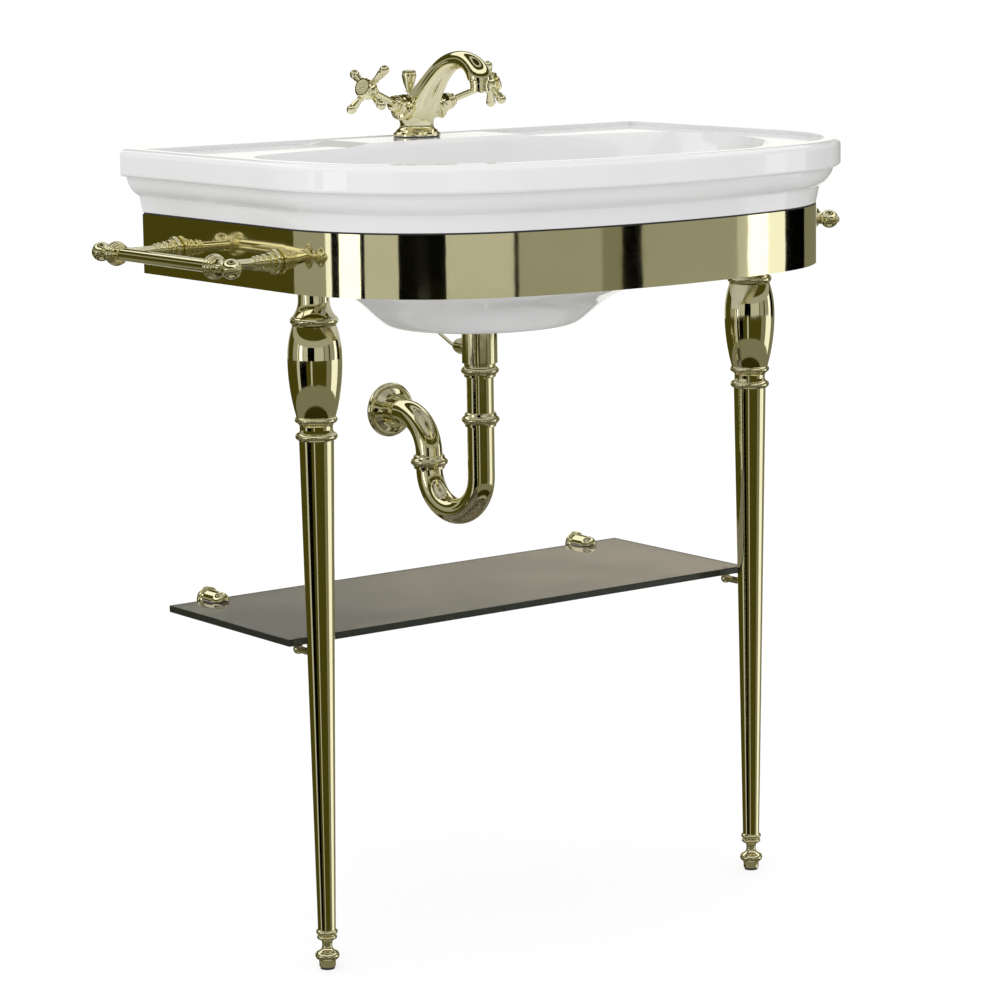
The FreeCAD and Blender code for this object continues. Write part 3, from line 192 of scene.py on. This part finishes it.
# %% [markdown]
# Only glossy rays see this room. The camera sees plain white, and the matt surfaces get the
# even light of a white tent, a little stronger from above and from the left.

# %% Choose what each ray sees
row_edge = math.radians(-7.0)           # between the upper and the lower row
is_low = add(sky, "ShaderNodeMath", {0: height}, {1: row_edge}, operation="LESS_THAN").outputs[0]
belt = add(sky, "ShaderNodeMix", {"Factor": is_low, "A": painted["upper row"]["Color"],
                                  "B": painted["lower row"]["Color"]}, data_type="RGBA")
room = add(sky, "ShaderNodeMix", {"Factor": painted["rings"]["Alpha"], "A": belt.outputs["Result"],
                                  "B": painted["rings"]["Color"]}, data_type="RGBA")
upper = add(sky, "ShaderNodeMapRange", {"Value": ray["Z"]},
            {"From Min": -0.4, "From Max": 0.05, "To Min": 0.78, "To Max": 1.06}).outputs["Result"]
tent = add(sky, "ShaderNodeMath", {0: ray["X"], 2: upper}, {1: -0.1}, operation="MULTIPLY_ADD").outputs[0]
path = add(sky, "ShaderNodeLightPath").outputs
seen = add(sky, "ShaderNodeMix", {"Factor": path["Is Glossy Ray"], "A": tent, "B": room.outputs["Result"]},
           data_type="RGBA").outputs["Result"]
final = add(sky, "ShaderNodeMix", {"Factor": path["Is Camera Ray"], "A": seen},
            {"B": (1.05, 1.05, 1.05, 1)}, data_type="RGBA").outputs["Result"]
backdrop = add(sky, "ShaderNodeBackground", {"Color": final}, {"Strength": 1.0})
add(sky, "ShaderNodeOutputWorld", {"Surface": backdrop.outputs[0]})
scene.view_settings.view_transform = "Standard"

# %% [markdown]
# The floor is a pale disc that fades out at its rim, so it meets the white backdrop with
# no line. It keeps out of the reflections, which would otherwise lose their stripes.

# %% Lay the floor
floor_mesh = bmesh.new()
bmesh.ops.create_circle(floor_mesh, cap_ends=True, segments=96, radius=3.2)
floor_data = bpy.data.meshes.new("floor")
floor_mesh.to_mesh(floor_data)
floor_mesh.free()
floor = bpy.data.objects.new("floor", floor_data)
scene.collection.objects.link(floor)
floor.visible_glossy = False

paint = bpy.data.materials.new("pale_studio_floor")
paint.use_nodes = True
tree = paint.node_tree
tree.nodes.clear()
place = add(tree, "ShaderNodeTexCoord").outputs["Object"]
far = add(tree, "ShaderNodeVectorMath", {0: place}, operation="LENGTH").outputs["Value"]
fade = add(tree, "ShaderNodeMapRange", {"Value": far}, {"From Min": 0.75, "From Max": 2.2, "To Min": 0.7},
           interpolation_type="SMOOTHSTEP").outputs["Result"]
matt = add(tree, "ShaderNodeBsdfDiffuse", values={"Color": linear("FDFDFD")}).outputs[0]
clear = add(tree, "ShaderNodeBsdfTransparent").outputs[0]
blend = add(tree, "ShaderNodeMixShader", {"Fac": fade, 1: matt, 2: clear})
add(tree, "ShaderNodeOutputMaterial", {"Surface": blend.outputs[0]})
floor_data.materials.append(paint)

# %% [markdown]
# One soft key light stands high on the left. It gives the china its gentle shading
# from side to side, and a weak shadow that ties the feet to the floor.

# %% Add the key light
key_data = bpy.data.lights.new("key", "AREA")
key_data.shape = "DISK"
key_data.size = 1.6
key_data.energy = 7
key = bpy.data.objects.new("key", key_data)
key.location = (-1.9, wall - 1.6, 2.9)
key.rotation_euler = Vector((1.9, 1.3, -2.1)).to_track_quat("-Z", "Y").to_euler()
key.visible_glossy = False
scene.collection.objects.link(key)

# %% [markdown]
# Every finish is made the same way. Its colour and its gloss drift together between two
# values, in patches of a real size, because wear, polish and glaze are never even. A second
# pattern dents the surface by a few hundredths of a millimetre, which bends reflections.
# The patterns read the piece's own Object coordinates, so they stay put in every view.

# %% A function that makes a finish
def finish(name, codes, rough, patch, depth=0.0, ripple=None, detail=3.0, **settings):
    """Colours as two hex codes, roughness as two numbers, and patch, ripple and depth in metres."""
    material = bpy.data.materials.new(name)
    material.use_nodes = True
    tree = material.node_tree
    tree.nodes.clear()
    place = add(tree, "ShaderNodeTexCoord").outputs["Object"]
    drift = add(tree, "ShaderNodeTexNoise", {"Vector": place}, {"Scale": 1 / patch, "Detail": 3.0}).outputs["Fac"]
    colour = add(tree, "ShaderNodeMix", {"Factor": drift}, {"A": linear(codes[0]), "B": linear(codes[1])},
                 data_type="RGBA").outputs["Result"]
    gloss = add(tree, "ShaderNodeMapRange", {"Value": drift}, {"To Min": rough[0], "To Max": rough[1]})
    wires = {"Base Color": colour, "Roughness": gloss.outputs["Result"]}
    if depth:
        waves = add(tree, "ShaderNodeTexNoise", {"Vector": place},
                    {"Scale": 1 / (ripple or patch), "Detail": detail}).outputs["Fac"]
        dents = add(tree, "ShaderNodeBump", {"Height": waves}, {"Strength": 1.0, "Distance": depth})
        wires["Normal"] = dents.outputs["Normal"]
    own = {socket.replace("_", " "): value for socket, value in settings.items()}
    shader = add(tree, "ShaderNodeBsdfPrincipled", wires, own)
    add(tree, "ShaderNodeOutputMaterial", {"Surface": shader.outputs[0]})
    return material


# %% [markdown]
# **Polished brass.** The castings and tubes are buffed to a mirror and lightly plated in
# a pale, greenish gold. Buffing leaves long shallow waves about 30 mm apart that bend a
# straight reflection a little, and handling leaves faint cloudy patches in the polish.

# %% Polished brass
brass = finish("polished_brass", ("F4EECC", "EEE8C0"), (0.03, 0.075), 35 * MM, 0.06 * MM,
               ripple=30 * MM, detail=1.0, Metallic=1.0)

# %% [markdown]
# **Glazed fireclay.** White clay under a thick clear glaze, fired in one piece. The
# glaze pools and thins, so its surface undulates softly every 50 mm or so, and its
# colour is a clean white that greys very slightly where the glaze is thick.

# %% Glazed fireclay
fireclay = finish("glazed_fireclay", ("E9E9E9", "E4E4E5"), (0.03, 0.07), 90 * MM, 0.04 * MM,
                  ripple=50 * MM, detail=0.0, IOR=1.5)

# %% [markdown]
# ** Bronze glass.** Float glass coloured through its mass. Light crosses it twice on its
# way through the pane and far more often on its way to the edge, which is why the pane is
# a warm grey and its ground edges are nearly black. On top of that its colour is painted
# a little lighter towards one end, a painted reflection of the brighter side of the room,
# with faint random clouds, so its colour is driven by the place along the pane as well as by the noise.

# %% Bronze glass, its face and its edge
glass_face = finish("bronze_glass", ("66635E", "AFA497"), (0.0, 0.03), 120 * MM, IOR=1.52,
                    Transmission_Weight=0.82)
tree = glass_face.node_tree
colour = next(node for node in tree.nodes if node.type == "MIX")
place = next(node for node in tree.nodes if node.type == "TEX_COORD").outputs["Object"]
cloud = next(node for node in tree.nodes if node.type == "TEX_NOISE").outputs["Fac"]
# The pane's colour is painted lighter towards its +X end over this half length. This is a painted reflection, and
# the noise's clouds are added to it.
reflection_reach = 0.28           # half the length over which the tint changes
across = add(tree, "ShaderNodeSeparateXYZ", {"Vector": place}).outputs["X"]
reflection_ramp = add(tree, "ShaderNodeMapRange", {"Value": across},
            {"From Min": -reflection_reach, "From Max": reflection_reach}).outputs["Result"]
reflection_and_clouds = add(tree, "ShaderNodeMath", {0: reflection_ramp, 1: cloud}, operation="ADD").outputs[0]
even = add(tree, "ShaderNodeMath", {0: reflection_and_clouds}, {1: 0.5}, operation="SUBTRACT").outputs[0]
tree.links.new(even, colour.inputs["Factor"])

glass_edge = finish("bronze_glass_ground_edge", ("1C201C", "3A3E38"), (0.08, 0.3), 4 * MM, IOR=1.52,
                    Transmission_Weight=0.3)

# %% [markdown]
# **The hidden finishes.** Rubber washers are matt and a little dusty, silicone cushions are
# cloudy, zinc plate is satin with a fine mottled crystal, drawn copper has darkened, and
# the aerator's moulded insert is a dark plastic. The index discs on the handles are plated
# as the brass is, but brushed to a satin.

# %% Rubber, silicone, zinc plate, copper, plastic and the index discs
finishes = {
    "polished_brass": brass,
    "glazed_fireclay": fireclay,
    "bronze_glass": glass_face,
    "grey_rubber": finish("moulded_rubber", ("3A3A3A", "2C2C2C"), (0.6, 0.8), 2 * MM, 0.05 * MM),
    "clear_rubber": finish("silicone_cushion", ("D8D8D2", "C6C6BE"), (0.3, 0.5), 3 * MM, 0.03 * MM,
                           Subsurface_Weight=0.2, Subsurface_Scale=2 * MM),
    "zinc_steel": finish("zinc_plated_steel", ("C9CBC8", "A9ACA8"), (0.25, 0.42), 1.2 * MM, 0.01 * MM,
                         Metallic=1.0),
    "copper_tube": finish("drawn_copper", ("C98A66", "A66A4A"), (0.2, 0.4), 4 * MM, 0.01 * MM,
                          Metallic=1.0),
    "dark_plastic": finish("moulded_aerator_plastic", ("2A2A2C", "1C1C1E"), (0.35, 0.5), 1 * MM, 0.02 * MM),
    "index_enamel": finish("satin_gilt_disc", ("F6F1CC", "ECE6BA"), (0.34, 0.42), 4 * MM, 0.005 * MM,
                           Metallic=1.0),
}
print("finishes:", ", ".join(sorted(finishes)))

# %% [markdown]
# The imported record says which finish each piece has, so one loop dresses all of them.

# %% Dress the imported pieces
slot_of = {part["node"]: part["material_slot"] for part in frame["record"]["subparts"]}
for name, piece in frame["nodes"].items():
    piece.data.materials.clear()
    piece.data.materials.append(finishes[slot_of[name]])
print("dressed", len(slot_of), "pieces")

# %% [markdown]
# The shelf is one pane with ground edges. It starts as a cube stretched to the pane's
# size, and its twelve edges get the small flat that grinding leaves. Only the two broad
# faces keep the clear face material. The new pane takes over from the plain solid and
# rides on the same body.

# %% The glass shelf
low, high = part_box("shelf_glass")
pane = bmesh.new()
stretch = Matrix.Translation((low + high) / 2) @ Matrix.Diagonal((*(high - low), 1.0))
bmesh.ops.create_cube(pane, size=1.0, matrix=stretch)
bmesh.ops.bevel(pane, geom=pane.edges[:], offset=0.8 * MM, segments=2, profile=0.5, affect="EDGES", material=-1)
bmesh.ops.remove_doubles(pane, verts=pane.verts, dist=0.001 * MM)
bmesh.ops.recalc_face_normals(pane, faces=pane.faces)
for face in pane.faces:
    face.material_index = 0 if abs(face.normal.z) > 0.999 else 1
    face.smooth = True
pane_data = bpy.data.meshes.new("glass_pane")
pane.to_mesh(pane_data)
pane.free()
for material in (glass_face, glass_edge):
    pane_data.materials.append(material)
pane_data.set_sharp_from_angle(angle=math.radians(20))
glass_pane = bpy.data.objects.new("glass_pane", pane_data)
scene.collection.objects.link(glass_pane)
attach(glass_pane, "console")
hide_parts("shelf_glass")
print("glass_pane", len(pane_data.polygons), "faces")
